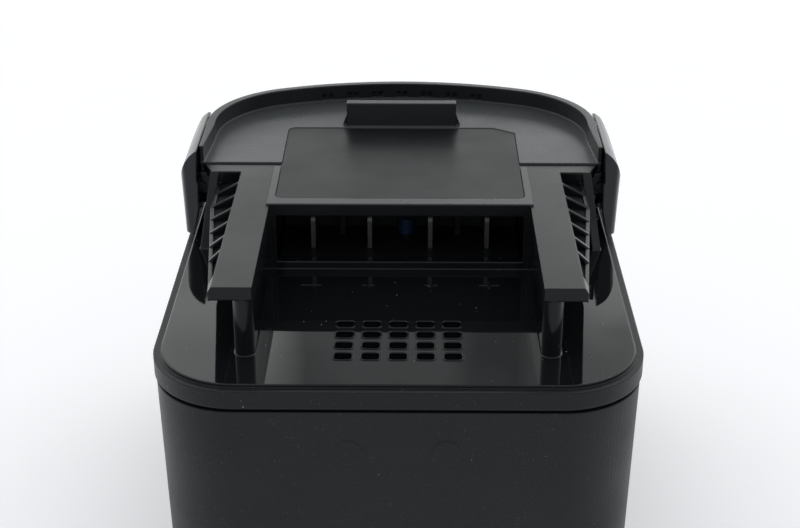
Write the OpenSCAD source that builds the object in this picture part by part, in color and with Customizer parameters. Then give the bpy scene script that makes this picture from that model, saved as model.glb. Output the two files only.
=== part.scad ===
// Slide-on battery pack for a cordless power tool.
// A drafted tub holds ten round cells in two layers. The upper moulding carries two ribbed rails,
// a terminal tower and a rear plate with a raised lip. Two sprung release wings sit at its sides.
// Millimetres, +Z up, the terminals face -Y, and the origin lies under the middle of the base.
// Distances named front, rear or from the front are measured from the front face of the skirt,
// and heights named over the deck are measured from the deck between the rails.

/* [Cells] */
// Diameter of one cell
cell_d = 18.2; // [17.8:0.1:18.6]
// Length of one cell
cell_l = 65; // [64:0.5:70]
// Gap between neighbouring cells of a row
cell_gap = 0.4; // [0.3:0.1:1.2]
// Gap between the two layers of cells
layer_gap = 0.6; // [0.3:0.1:2]
// Height of the lower cells above the inside of the base
cell_lift = 1.7; // [1.4:0.1:4]
// Room from the cell ends to the side walls
side_room = 5.5; // [5.5:0.1:8]
// Room from the outer cells to the end walls
end_room = 2.7; // [2.5:0.1:6]
// Rounding of a cell's rim
cell_rim = 0.8; // [0.2:0.1:1.5]
// Clearance of a cell in its holder
cell_clear = 0.1; // [0.05:0.01:0.14]

/* [Cell holders] */
// Thickness of a holder along the cells
holder_t = 8; // [4:0.5:12]
// Distance of a holder from the cell ends
holder_in = 4; // [4:0.5:8]
// Plastic round the outer cells
holder_rim = 1.2; // [0.8:0.1:1.4]
// Width of a post that carries the board
post_w = 6; // [5:0.5:8]

/* [Strips and sheets] */
// Thickness of a nickel strip
strip_t = 0.2; // [0.1:0.05:0.3]
// Width of a nickel strip
strip_w = 9; // [5:0.5:14]
// Corner radius of a nickel strip
strip_r = 2; // [0.5:0.5:2.5]
// Thickness of an insulating sheet
sheet_t = 0.3; // [0.1:0.05:0.4]

/* [Lower housing] */
// Wall thickness of both housings
wall = 2; // [1.6:0.1:2.6]
// Thickness of the base
base_wall = 2.2; // [1.6:0.1:4]
// Corner radius in plan
corner_r = 14.3; // [10:0.1:14.5]
// How far the lower housing stands in from the skirt
lower_inset = 0.4; // [0.1:0.1:0.5]
// How far each side leans in at the base
draft_in = 0.9; // [0.2:0.1:1]
// Chamfer round the base
base_chamfer = 0.6; // [0.3:0.1:0.7]
// Height of the tongue that enters the upper housing
tongue_h = 1.8; // [1.2:0.1:1.8]
// Thickness of the tongue
tongue_t = 0.8; // [0.6:0.05:1.1]
// Clearance of the tongue
tongue_clear = 0.1; // [0.05:0.05:0.3]
// Groove that shows between the housings
seam_gap = 0.8; // [0.1:0.05:0.8]
// Diameter of the round pads on the front
pad_d = 4.5; // [3:0.1:8]
// Distance of a pad from the middle
pad_x = 7.8; // [5:0.1:20]
// Drop of the pads below the seam
pad_drop = 7.5; // [5:0.1:20]

/* [Housing screws] */
// Distance of a screw from the side of the pack
screw_in = 4.7; // [4.6:0.05:4.75]
// Spacing of the screws along the pack
screw_span = 60; // [40:1:66]
// Radius of the screw tubes and posts
screw_tube_r = 2.2; // [2.1:0.05:2.25]
// Radius of a screw's shank
screw_r = 1.2; // [1:0.05:1.3]
// Radius of a screw's head
screw_head_r = 2.1; // [1.8:0.05:2.2]
// Height of a screw's head
screw_head_h = 1.6; // [1:0.1:2.4]
// Depth of a screw's head below the base
screw_sink = 0.5; // [0.2:0.1:2]
// Clearance round a screw
screw_clear = 0.1; // [0.05:0.05:0.2]
// Drop of the joint between the screw tubes and posts below the board
tube_drop = 0.4; // [0:0.1:2]
// Length of thread in the upper housing
screw_bite = 6; // [3:0.5:6.5]

/* [Board] */
// Gap between the cells and the board
board_lift = 3.5; // [2.5:0.1:8]
// Thickness of the board
board_t = 1.6; // [0.8:0.1:2]
// Room between the board and the seam
board_room = 3.6; // [3:0.1:10]
// Width of the board
board_w = 58; // [50:1:60]
// Length of the board
board_l = 84; // [70:1:88]
// Radius of a board screw
board_screw_r = 1; // [0.8:0.05:1.3]
// Corner radius of the board
board_r = 2; // [0.5:0.5:5]
// Width of a power transistor
transistor_w = 6; // [4:0.5:8]
// Length of a power transistor
transistor_l = 8; // [4:0.5:10]
// Height of a power transistor
transistor_h = 4.4; // [3:0.1:5]
// Spacing of the power transistors
transistor_pitch = 9; // [8.5:0.5:12]
// Distance of the power transistors from the rear of the board
transistor_rear = 8; // [7:0.5:16]

/* [Upper housing] */
// Height of the skirt
skirt_h = 3.1; // [2.6:0.1:6]
// Width of the ledge between skirt and deck
ledge_w = 1.3; // [0.6:0.1:1.6]
// Height of the deck above the skirt
ledge_h = 0.6; // [0.3:0.1:1.5]
// Thickness of the deck
deck_t = 2; // [1.5:0.1:2.4]

/* [Vents] */
// Vents across
vent_cols = 5; // [1:1:8]
// Vents along
vent_rows = 4; // [1:1:6]
// Width of a vent
vent_w = 3.1; // [1.5:0.1:3.6]
// Length of a vent
vent_l = 2.4; // [1.5:0.1:2.8]
// Corner radius of a vent
vent_r = 0.6; // [0.2:0.1:0.7]
// Spacing across
vent_pitch_x = 4.45; // [4.2:0.05:6]
// Spacing along
vent_pitch_y = 3.62; // [3.2:0.02:5]
// First row from the front
vent_front = 10.3; // [6:0.1:14]

/* [Rails] */
// Front end of the rails
rail_front = 10; // [6:0.5:20]
// Inner faces of the rails from the middle
rail_in = 23.1; // [22.8:0.1:24]
// Thickness of a rail's web
web_t = 3.3; // [2.4:0.1:4]
// Height of the rails over the deck
rail_h = 12.5; // [11.6:0.1:12.6]
// Thickness of a rail's flange
flange_t = 2.3; // [1.6:0.1:3]
// Outer edge of the flat top of a rail from the middle
flange_out = 29.6; // [28:0.1:30]
// Outer edge of the flare at the front end
flare_front = 30.1; // [30.1:0.1:32]
// Inset of a flare's widest edge from the edge of the plate
flare_in = 3.7; // [3.3:0.1:5]
// Distance from the front where the flare is widest
flare_full = 46; // [30:1:54]
// Thickness of the rim along the flare's edge
rim_t = 0.7; // [0.5:0.1:1.2]
// Fall of the flare's underside towards its outer edge
rim_drop = 0.7; // [0:0.1:1.2]
// Ribs across the open pockets of a rail
rib_count = 6; // [1:1:7]
// First rib from the front
rib_front = 23.7; // [18:0.1:25]
// Spacing of the ribs
rib_pitch = 5.76; // [4:0.02:5.8]
// Thickness of a rib
rib_t = 0.9; // [0.5:0.1:2]
// Solid length at the front of a rail
nose_l = 4.4; // [2:0.1:7]

/* [Terminal tower] */
// Front face of the tower
tower_front = 42.2; // [36:0.2:44]
// Wall thickness of the tower
tower_wall = 2; // [1.4:0.1:2.2]
// Height of the tower and the rear plate over the deck
tower_h = 12.8; // [12.7:0.1:15]
// Thickness of the roof
roof_t = 2.4; // [1.6:0.1:2.6]
// Height of the sill under the opening
sill_h = 1.5; // [0.6:0.1:3]
// Width of the opening
opening_w = 44; // [40:0.5:45]
// Rear end of the channels beside the rails
channel_rear = 57.6; // [56:0.2:59]

/* [Rear plate] */
// Inset of the plate from the sides of the pack
plate_inset = 2.3; // [2:0.1:4]
// Inset of the plate's middle from the rear of the pack
plate_rear_inset = 3.6; // [2:0.1:8]
// Radius of the bowed rear edge
rear_r = 70; // [60:1:120]
// Radius of the rear corners
rear_corner_r = 20; // [16:0.5:24]
// Front end of the lip
lip_front = 61.5; // [60:0.1:64]
// Height of the lip over the plate
lip_h = 3.2; // [1.5:0.1:5]
// Thickness of the lip
lip_t = 1.5; // [1:0.1:2]
// Rear end of the low band across the rail ends
band_rear = 62.3; // [61.6:0.1:64]
// Inset of the low band's front corners from the edge of the plate
band_in = 2.5; // [1.8:0.1:3]
// Inset of its rear corners
band_rear_in = 0.5; // [0.4:0.1:2]
// Thickness of the lip at its front ends
lip_end_t = 0.7; // [0.5:0.1:1]
// Length over which the lip thins to its ends
lip_run = 11; // [4:0.5:14]
// Pairs of notches in the lip
notch_count = 7; // [1:1:9]
// Spacing of the pairs
notch_pitch = 5.1; // [3:0.1:6]
// Spacing of the two notches of a pair
notch_pair = 1.36; // [1.2:0.02:2]
// Width of a notch
notch_w = 0.9; // [0.4:0.1:1]
// Height of a notch's floor over the plate
notch_z = 0.5; // [0.2:0.1:1]
// Height of a notch
notch_h = 1; // [0.5:0.1:1.4]
// Depth of a notch in the lip
notch_d = 0.8; // [0.3:0.1:1]

/* [Stop block] */
// Width of the block
stop_w = 21.6; // [10:0.2:30]
// Foot of the block's ramp from the front
stop_front = 80.2; // [76:0.1:84]
// Height of the block over the plate
stop_h = 4.8; // [1:0.1:6]
// Length of the ramp
stop_ramp = 0.3; // [0:0.1:5]
// Length of the top
stop_top = 1.9; // [1:0.1:4]
// Width of the gusset at each end
gusset_w = 0.85; // [0.5:0.05:2]
// Height of a gusset
gusset_h = 2.2; // [1:0.1:4]
// Distance of a gusset behind the block's face
gusset_in = 1.2; // [0.4:0.1:1.4]

/* [Side strips] */
// Thickness of a strip
side_t = 1.6; // [0.8:0.1:1.8]
// Inset of a strip's foot from the edge of the plate
side_in = 0.7; // [0.6:0.1:1.6]
// How far a strip leans in at its top
side_lean = 1.7; // [1:0.1:2]
// Front edge at the foot
side_front = 50.4; // [46:0.2:54]

/* [Label] */
// Width of the label
label_w = 44.6; // [30:0.2:45]
// Front edge of the label
label_front = 44.6; // [44.4:0.2:50]
// Rear edge of the label
label_rear = 79.8; // [60:0.2:80]
// Corner radius of the label
label_r = 1.6; // [0.5:0.1:4]
// Width of the cut corner
label_cut = 4.6; // [2:0.1:8]
// Depth of the recess
label_sink = 0.35; // [0.3:0.05:0.6]
// Thickness of the film
film_t = 0.25; // [0.1:0.05:0.3]
// Clearance round the film
film_clear = 0.15; // [0.05:0.05:0.4]

/* [Release wings] */
// How far a wing's ridge stands out from the plate
wing_reach = 3.5; // [3.2:0.1:4.5]
// Height of the ridge over the deck
wing_ridge = 13.5; // [12.5:0.1:14]
// Height of a wing's top over the deck
wing_top = 15.9; // [15:0.1:17]
// Height of a wing's foot over the deck
wing_foot = 0.7; // [0.6:0.1:1]
// How far the foot stands in from the ridge
wing_draft = 0.9; // [0.2:0.1:1]
// Crease between a wing and the lip
wing_crease = 0.25; // [0.2:0.05:1]
// Thickness of a wing's skin
wing_skin = 1.3; // [1:0.1:1.4]
// Front edge at the foot
wing_front = 55.5; // [52:0.1:56]
// How far the front edge leans back to its top
wing_lean = 3.3; // [1:0.1:4]
// Distance from the front where a wing's outer face starts to bow in
wing_bow_front = 64; // [60:0.5:70]
// Radius of that bow
wing_bow_r = 75; // [60:1:150]
// Rear end of a wing
wing_rear = 80; // [78.5:0.5:82]
// Clearance at the rear end
wing_end_clear = 0.5; // [0.3:0.1:1]
// Depth of the recess behind a wing from the plate's edge
recess_depth = 3.1; // [3:0.1:3.3]
// Thickness of the plate's overhang over the recess
overhang_t = 2; // [1.5:0.1:2.2]
// Room over the ears in a wing's pocket
pocket_room = 0.5; // [0.4:0.1:0.6]

/* [Wing hinges] */
// Depth of the hinge pin behind the ridge
pivot_in = 3.6; // [3.55:0.05:3.7]
// Height of the hinge pin over the deck
pivot_h = 8.6; // [8.2:0.1:8.7]
// Radius of a hinge pin
pin_r = 0.9; // [0.6:0.05:1]
// Running clearance of the pin
pin_clear = 0.05; // [0.02:0.01:0.09]
// Radius of the barrel on a wing
barrel_r = 1.7; // [1.5:0.05:1.75]
// Radius of the ears on the housing
ear_r = 1.6; // [1.4:0.05:1.65]
// Front end of the barrel
barrel_front = 62; // [61.5:0.1:64]
// Length of the barrel
barrel_l = 12; // [10:0.5:12.5]
// Thickness of an ear
ear_t = 1.7; // [1.2:0.1:2]
// Gap between an ear and the barrel
ear_gap = 0.3; // [0.2:0.05:0.6]

/* [Wing springs] */
// Outer diameter of a spring
spring_d = 5.6; // [5:0.1:5.8]
// Diameter of the wire
wire_d = 0.7; // [0.5:0.05:0.8]
// Turns of a spring
spring_turns = 6; // [4:1:7]
// Height of a spring over the deck
spring_h = 3.6; // [3.5:0.1:3.7]
// Depth of the cup behind the recess wall
cup_depth = 5; // [3:0.1:6]
// Wall of the cup
cup_wall = 1.2; // [0.8:0.1:2]
// Clearance of the spring in its cup
cup_clear = 0.4; // [0.3:0.05:0.6]
// Distance of the wing's spring seat from the plate's edge
seat_out = 0.9; // [0.8:0.1:1.2]
// Length of the nub inside the spring
nub_l = 1.8; // [1:0.1:2.4]

/* [Terminals] */
// Thickness of a blade
blade_t = 0.8; // [0.5:0.1:1.2]
// Inner blades from the middle
blade_x_inner = 5.5; // [5:0.1:7]
// Outer blades from the middle
blade_x_outer = 15.8; // [14:0.1:18]
// Front edge of the blades
blade_front = 48.2; // [46.5:0.1:50]
// Length of a blade
blade_l = 9.2; // [7:0.1:9.4]
// Height of the blades over the deck
blade_h = 8.1; // [6:0.1:9]
// Rounding of a blade's front corner
blade_r = 1.5; // [0.5:0.1:3]
// Clearance of a blade in its slot
blade_clear = 0.1; // [0.05:0.01:0.3]
// Length of the solder tails below the board
tail_l = 1.2; // [0.5:0.1:2]

/* [Terminal block] */
// Height of the block's base over the deck
block_h = 1.4; // [0.6:0.1:3]
// Front face of the block
block_front = 44.6; // [44.5:0.1:46]
// Thickness of the block's rear wall
block_wall = 1.6; // [1:0.1:2]
// Height of the rear wall over the deck
block_wall_h = 9.8; // [6:0.1:10]
// Clearance of the block in the tower
block_clear = 0.4; // [0.2:0.1:1]
// Thickness of a divider
divider_t = 0.9; // [0.5:0.1:1.5]
// Length of a divider
divider_l = 4; // [1:0.5:6]
// Diameter of the round component in the block
capacitor_d = 3.3; // [2:0.1:4]
// Height of the round component over the deck
capacitor_h = 4.4; // [2:0.1:8]
// Offset of the round component from the middle
capacitor_x = 1.05; // [0:0.05:2]
// Clearance round the component
capacitor_clear = 0.15; // [0.05:0.05:0.4]

/* [Hidden] */
$fn = 96;
// Overlap that makes joined shapes one solid, and overshoot of a cut
fuse = 0.5;

// Plan of the pack, from the cells outwards
row_cells = 5;
cell_pitch = cell_d + cell_gap;
layer_pitch = cell_d + layer_gap;
inner_w = cell_l + 2 * side_room;
inner_l = row_cells * cell_d + (row_cells - 1) * cell_gap + 2 * end_room;
body_w = inner_w + 2 * wall;
body_l = inner_l + 2 * wall;
front = -body_l / 2;

// Heights, from the base up
lower_axis = base_wall + cell_lift + cell_d / 2;
upper_axis = lower_axis + layer_pitch;
board_z = upper_axis + cell_d / 2 + board_lift;
board_top = board_z + board_t;
seam_z = board_top + board_room;
skirt_z = seam_z + seam_gap;
skirt_top = skirt_z + skirt_h;
deck_z = skirt_top + ledge_h;
deck_under = deck_z - deck_t;
rail_top = deck_z + rail_h;
flange_z = rail_top - flange_t;
plate_top = deck_z + tower_h;
roof_under = plate_top - roof_t;
lip_top = plate_top + lip_h;

// Rear plate: straight sides, two round corners and a bowed rear edge, all tangent
plate_hw = body_w / 2 - plate_inset;
corner_x = plate_hw - rear_corner_r;
bow_y = body_l / 2 - plate_rear_inset - rear_r;
corner_y = bow_y + sqrt(pow(rear_r - rear_corner_r, 2) - pow(corner_x, 2));

// Release wings, hinges and springs
recess_x = plate_hw - recess_depth;
band_out = plate_hw - band_in;
side_foot = plate_hw - side_in;
flare_rear = plate_hw - flare_in;
overhang_under = plate_top - overhang_t;
ridge_x = plate_hw + wing_reach;
foot_x = ridge_x - wing_draft;
pivot_x = ridge_x - pivot_in;
pivot_z = deck_z + pivot_h;
pocket_top = pivot_z + ear_r + pocket_room;
pocket_front = wing_front + wing_lean + fuse;
pocket_rear = wing_rear - wing_skin;
ear_front = barrel_front - ear_gap - ear_t;
spring_y = front + barrel_front + barrel_l / 2;
spring_z = deck_z + spring_h;
spring_x0 = recess_x - cup_depth;
spring_x1 = plate_hw + seat_out;
coil_r = (spring_d - wire_d) / 2;
nub_r = coil_r - wire_d / 2 - cup_clear;

// Screws
screw_x = body_w / 2 - screw_in;
tube_top = board_z - tube_drop;
screw_tip = tube_top + screw_bite;

// Terminal tower
block_rear = channel_rear + tower_wall;
block_hw = opening_w / 2 - block_clear;
capacitor_y = front + block_rear - block_wall - capacitor_d / 2 - capacitor_clear - fuse;
divider_x = (blade_x_inner + blade_x_outer) / 2;

// Extrudes a profile drawn in X and Z from y0 to y1.
module along_y(y0, y1) {
    translate([0, y1, 0]) rotate([90, 0, 0]) linear_extrude(y1 - y0) children();
}

// Extrudes a profile drawn in Y and Z from x0 to x1.
module along_x(x0, x1) {
    translate([x0, 0, 0]) rotate([90, 0, 90]) linear_extrude(x1 - x0) children();
}

// Extrudes a plan from z0 to z1.
module up(z0, z1) {
    translate([0, 0, z0]) linear_extrude(z1 - z0) children();
}

// The children and their mirror image across the middle of the pack.
module both_sides() {
    children();
    mirror([1, 0, 0]) children();
}

// The right-hand children as drawn, or mirrored to the left.
module on_side(side) {
    if (side < 0) mirror([1, 0, 0]) children();
    else children();
}

// Centred rectangle with round corners.
module rounded_rect(w, l, r) {
    square([w - 2 * r, l], center = true);
    square([w, l - 2 * r], center = true);
    for (sx = [-1, 1], sy = [-1, 1])
        translate([sx * (w / 2 - r), sy * (l / 2 - r)]) circle(r);
}

// Rounded plan of the pack, moved in from its sides.
module body_plan(inset) {
    rounded_rect(body_w - 2 * inset, body_l - 2 * inset, corner_r - inset);
}

// Plan of the rear plate from a front edge to the bowed rear edge, grown or shrunk evenly.
module plate_plan(grow, plan_front) {
    hw = plate_hw + grow;
    reach = 2 * rear_r / (rear_r - rear_corner_r);
    far_y = bow_y + reach * (corner_y - bow_y);
    intersection() {
        translate([-hw, front + plan_front]) square([2 * hw, 2 * body_l]);
        union() {
            translate([-hw, front]) square([2 * hw, corner_y - front]);
            for (s = [-1, 1])
                translate([s * corner_x, corner_y]) circle(rear_corner_r + grow);
            intersection() {
                translate([0, bow_y]) circle(rear_r + grow);
                polygon([[0, bow_y], [-reach * corner_x, far_y], [reach * corner_x, far_y]]);
            }
        }
    }
}

// Drafted block in the shape of the tub, moved in from its sides, from z0 up to the seam.
module tub(inset, z0) {
    lean = draft_in * (seam_z - z0) / seam_z;
    w = body_w - 2 * (inset + lean);
    l = body_l - 2 * (inset + lean);
    grow = [(body_w - 2 * inset) / w, (body_l - 2 * inset) / l];
    translate([0, 0, z0])
        linear_extrude(seam_z - z0, scale = grow, slices = 1) rounded_rect(w, l, corner_r - inset - lean);
}

// The four screw places.
module at_screws() {
    for (sx = [-1, 1], sy = [-1, 1])
        translate([sx * screw_x, sy * screw_span / 2, 0]) children();
}

// Chamfered foot of the tub.
module tub_foot() {
    inset = lower_inset + draft_in * (seam_z - base_chamfer) / seam_z;
    w = body_w - 2 * inset;
    l = body_l - 2 * inset;
    w0 = w - 2 * base_chamfer;
    l0 = l - 2 * base_chamfer;
    linear_extrude(base_chamfer, scale = [w / w0, l / l0], slices = 1)
        rounded_rect(w0, l0, corner_r - inset - base_chamfer);
}

module lower_housing() {
    color("#2b2d31") difference() {
        union() {
            difference() {
                union() {
                    tub_foot();
                    tub(lower_inset, base_chamfer);
                }
                tub(wall, base_wall);
                up(seam_z - fuse, seam_z + fuse) body_plan(wall);
            }
            up(seam_z - fuse, seam_z + tongue_h) difference() {
                body_plan(wall - tongue_t);
                body_plan(wall);
            }
            at_screws() translate([0, 0, base_chamfer])
                cylinder(r = screw_tube_r, h = tube_top - base_chamfer);
            for (s = [-1, 1])
                translate([s * pad_x, front + lower_inset, seam_z - pad_drop])
                    rotate([-90, 0, 0]) cylinder(d = pad_d, h = wall);
        }
        at_screws() {
            translate([0, 0, -fuse]) cylinder(r = screw_r + screw_clear, h = seam_z);
            translate([0, 0, -fuse])
                cylinder(r = screw_head_r + screw_clear, h = screw_sink + screw_head_h + fuse);
        }
    }
}

// Skirt, ledge and deck, hollow below and rebated for the tongue.
module skirt_and_deck() {
    difference() {
        union() {
            up(skirt_z, skirt_top) body_plan(0);
            up(skirt_top - fuse, deck_z) body_plan(ledge_w);
        }
        up(skirt_z - fuse, deck_under) body_plan(wall);
        up(skirt_z - fuse, seam_z + tongue_h + tongue_clear) body_plan(wall - tongue_t - tongue_clear);
    }
}

// Half-width of a rail's flare at a distance from the front.
function flare_x(y) =
    flare_front + (flare_rear - flare_front) * min(1, (y - rail_front) / (flare_full - rail_front));

// Height of the underside of a rail at a distance from the middle.
function under_z(x) = flange_z - rim_drop * max(0, x - flange_out) / (flare_rear - flange_out);

// Plan of a rail's flare, with its outer edge moved in.
module flare_plan(inset) {
    polygon([[rail_in, front + rail_front], [flare_front - inset, front + rail_front],
        [flare_rear - inset, front + flare_full], [flare_rear - inset, front + channel_rear + fuse],
        [rail_in, front + channel_rear + fuse]]);
}

// One solid stretch across a rail's flare, its top falling to the thin outer edge.
module flare_rib(y0, y1) {
    x = flare_x(y1);
    along_y(front + y0, front + y1)
        polygon([[flange_out - fuse, flange_z], [flange_out, flange_z], [x, under_z(x)],
            [x, under_z(x) + rim_t], [flange_out, rail_top], [flange_out - fuse, rail_top]]);
}

// Right rail: web with a round nose, flange, and flare with open pockets between ribs and a rim.
module rail() {
    up(deck_z - fuse, flange_z + fuse) {
        translate([rail_in, front + rail_front + web_t / 2])
            square([web_t, channel_rear - rail_front]);
        translate([rail_in + web_t / 2, front + rail_front + web_t / 2]) circle(d = web_t);
    }
    along_y(front + rail_front, front + band_rear)
        polygon([[rail_in, flange_z], [flange_out, flange_z], [flange_out, rail_top], [rail_in, rail_top]]);
    intersection() {
        up(deck_z, rail_top) flare_plan(0);
        union() {
            difference() {
                along_y(front, front + body_l)
                    polygon([[flange_out, flange_z], [flare_rear, under_z(flare_rear)],
                        [flare_rear, under_z(flare_rear) + rim_t], [flange_out, flange_z + rim_t]]);
                up(deck_z, rail_top) flare_plan(rim_t);
            }
            flare_rib(rail_front, rail_front + nose_l);
            for (i = [0 : rib_count - 1])
                flare_rib(rib_front + i * rib_pitch - rib_t / 2, rib_front + i * rib_pitch + rib_t / 2);
        }
    }
}

// Right strip beside the channel, leaning in, with its front edge leaning back.
module side_strip() {
    top_x = side_foot - side_lean;
    intersection() {
        along_y(front + side_front, front + channel_rear + fuse)
            polygon([[side_foot - side_t, deck_z - fuse], [side_foot, deck_z - fuse], [side_foot, deck_z],
                [top_x, rail_top], [top_x - side_t, rail_top], [side_foot - side_t, deck_z]]);
        along_x(0, body_w)
            polygon([[front + side_front, deck_z - fuse], [front + side_front, deck_z],
                [front + channel_rear, rail_top], [front + channel_rear + fuse, rail_top],
                [front + channel_rear + fuse, deck_z - fuse]]);
    }
}

// Plan of the low band across the rail ends, wider at the rear.
module band_plan() {
    rear_out = plate_hw - band_rear_in;
    polygon([[-band_out, front + channel_rear], [band_out, front + channel_rear],
        [rear_out, front + band_rear], [-rear_out, front + band_rear]]);
}

// Tower, rear body and plate as one solid, with a recess at each side for a wing.
module tower_and_plate() {
    difference() {
        union() {
            translate([-rail_in - fuse, front + tower_front, deck_under])
                cube([2 * (rail_in + fuse), channel_rear + tower_wall - tower_front, plate_top - deck_under]);
            translate([-recess_x, front + channel_rear, deck_under])
                cube([2 * recess_x, lip_front + fuse - channel_rear, rail_top - deck_under]);
            up(overhang_under, rail_top) band_plan();
            up(deck_under, plate_top) plate_plan(0, lip_front);
        }
        both_sides() translate([recess_x, front, deck_z])
            cube([body_w, wing_rear + wing_end_clear, overhang_under - deck_z]);
    }
    up(plate_top - fuse, lip_top) difference() {
        plate_plan(0, lip_front);
        plate_plan(-lip_t, lip_front - fuse);
        both_sides() polygon([[0, front + lip_front - fuse], [plate_hw - lip_end_t, front + lip_front - fuse],
            [plate_hw - lip_end_t, front + lip_front], [plate_hw - lip_t, front + lip_front + lip_run],
            [0, front + lip_front + lip_run]]);
    }
}

// Room inside the tower and the rear body, open below and through the tower's front.
module tower_room() {
    translate([-opening_w / 2, front + tower_front + tower_wall, deck_under - fuse])
        cube([opening_w, channel_rear - tower_front, roof_under - deck_under + fuse]);
    translate([-opening_w / 2, front + tower_front - fuse, deck_z + sill_h])
        cube([opening_w, tower_wall + 2 * fuse, roof_under - deck_z - sill_h]);
    up(deck_under - fuse, roof_under) {
        plate_plan(-recess_depth - wall, channel_rear + tower_wall);
        plate_plan(-wall, wing_rear + wing_end_clear + wall);
    }
}

// Upright block that stops the tool's shoe, braced by a gusset at each end.
module stop_block() {
    y0 = front + stop_front;
    along_x(-stop_w / 2, stop_w / 2)
        polygon([[y0, plate_top - fuse], [y0, plate_top], [y0 + stop_ramp, plate_top + stop_h],
            [y0 + stop_ramp + stop_top, plate_top + stop_h], [y0 + stop_ramp + stop_top, plate_top - fuse]]);
    both_sides() along_y(y0 + gusset_in, y0 + stop_ramp + stop_top)
        polygon([[stop_w / 2 - fuse, plate_top - fuse], [stop_w / 2 + gusset_w, plate_top - fuse],
            [stop_w / 2 + gusset_w, plate_top], [stop_w / 2, plate_top + gusset_h],
            [stop_w / 2 - fuse, plate_top + gusset_h]]);
}

// Pairs of blind notches in the inner face of the lip, behind the block.
module lip_notches() {
    z0 = plate_top + notch_z;
    intersection() {
        up(z0, z0 + notch_h) plate_plan(notch_d - lip_t, stop_front + stop_ramp + stop_top + fuse);
        for (i = [0 : notch_count - 1], s = [-1, 1])
            translate([(i - (notch_count - 1) / 2) * notch_pitch + (s * notch_pair - notch_w) / 2, front, z0])
                cube([notch_w, body_l, notch_h]);
    }
}

// Hinge ear on the right, hung between the recess wall and the plate's overhang.
module ear(y0) {
    along_y(front + y0, front + y0 + ear_t) {
        translate([pivot_x, pivot_z]) circle(ear_r);
        translate([recess_x - fuse, pivot_z - ear_r])
            square([pivot_x - recess_x + fuse, overhang_under - pivot_z + ear_r + fuse]);
    }
}

// Plan of the label, with one cut corner.
module label_plan(inset) {
    w = label_w - 2 * inset;
    l = label_rear - label_front - 2 * inset;
    translate([0, front + (label_front + label_rear) / 2]) difference() {
        rounded_rect(w, l, label_r);
        translate([w / 2, l / 2]) rotate(atan2(-2, 3)) square([3 * label_cut, label_cut], center = true);
    }
}

module upper_housing() {
    color("#1a1b1e") difference() {
        union() {
            difference() {
                union() {
                    skirt_and_deck();
                    tower_and_plate();
                }
                tower_room();
            }
            both_sides() {
                rail();
                side_strip();
                ear(ear_front);
                ear(barrel_front + barrel_l + ear_gap);
                translate([spring_x0 - cup_wall, spring_y, spring_z]) rotate([0, 90, 0])
                    cylinder(d = spring_d + 2 * (cup_clear + cup_wall), h = cup_depth + cup_wall);
            }
            stop_block();
            at_screws() translate([0, 0, tube_top])
                cylinder(r = screw_tube_r, h = deck_under + fuse - tube_top);
        }
        for (i = [0 : vent_cols - 1], j = [0 : vent_rows - 1])
            translate([(i - (vent_cols - 1) / 2) * vent_pitch_x, front + vent_front + j * vent_pitch_y, 0])
                up(deck_under - fuse, deck_z + fuse) rounded_rect(vent_w, vent_l, vent_r);
        lip_notches();
        up(plate_top - label_sink, plate_top + fuse) label_plan(0);
        at_screws() translate([0, 0, tube_top - fuse])
            cylinder(r = screw_r + screw_clear / 2, h = screw_bite + 2 * fuse);
        both_sides() {
            translate([pivot_x, front + ear_front - fuse, pivot_z]) rotate([-90, 0, 0])
                cylinder(r = pin_r + pin_clear, h = barrel_l + 2 * (ear_t + ear_gap + fuse));
            translate([spring_x0, spring_y, spring_z])
                rotate([0, 90, 0]) cylinder(d = spring_d + 2 * cup_clear, h = cup_depth + fuse);
        }
    }
}

// Profile of a wing across the pack: leaning skin, ridge and bevelled top.
module wing_profile() {
    foot_z = deck_z + wing_foot;
    polygon([[plate_hw + seat_out, foot_z], [foot_x, foot_z], [ridge_x, deck_z + wing_ridge],
        [plate_hw + wing_crease * 2, deck_z + wing_top], [plate_hw, deck_z + wing_top],
        [plate_hw, deck_z + wing_top / 3]]);
}

// Plan that a wing's outer face follows: straight, then bowed in towards the rear.
module wing_plan() {
    translate([0, front]) square([ridge_x, wing_bow_front]);
    translate([ridge_x - wing_bow_r, front + wing_bow_front]) circle(wing_bow_r);
}

// Right wing: a skin with end walls, a hinge barrel and a spring seat inside.
module wing() {
    skin_x = foot_x - wing_skin;
    difference() {
        union() {
            difference() {
                intersection() {
                    along_y(front + wing_front, front + wing_rear) wing_profile();
                    up(deck_z, lip_top) wing_plan();
                }
                along_y(front + pocket_front, front + pocket_rear)
                    polygon([[recess_x, deck_z], [skin_x, deck_z],
                        [skin_x + wing_draft * (pocket_top - deck_z) / wing_ridge, pocket_top],
                        [recess_x, pocket_top]]);
            }
            along_y(front + barrel_front, front + barrel_front + barrel_l) {
                translate([pivot_x, pivot_z]) circle(barrel_r);
                translate([pivot_x, pivot_z - barrel_r])
                    square([skin_x + wing_skin / 2 - pivot_x, 2 * barrel_r]);
            }
            translate([spring_x1, spring_y, spring_z])
                rotate([0, 90, 0]) cylinder(d = spring_d, h = skin_x + wing_skin / 2 - spring_x1);
            translate([spring_x1 - nub_l, spring_y, spring_z])
                rotate([0, 90, 0]) cylinder(r = nub_r, h = nub_l + fuse);
        }
        up(pocket_top - fuse, lip_top) plate_plan(wing_crease, 0);
        along_x(0, body_w)
            polygon([[front, deck_z + wing_foot], [front + wing_front, deck_z + wing_foot],
                [front + wing_front + wing_lean, deck_z + wing_top],
                [front + wing_front + wing_lean, lip_top], [front, lip_top]]);
        translate([pivot_x, front + ear_front, pivot_z]) rotate([-90, 0, 0])
            cylinder(r = pin_r + pin_clear, h = barrel_l + 2 * (ear_t + ear_gap));
    }
}

module release_wing(side) {
    color("#202124") on_side(side) wing();
}

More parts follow.
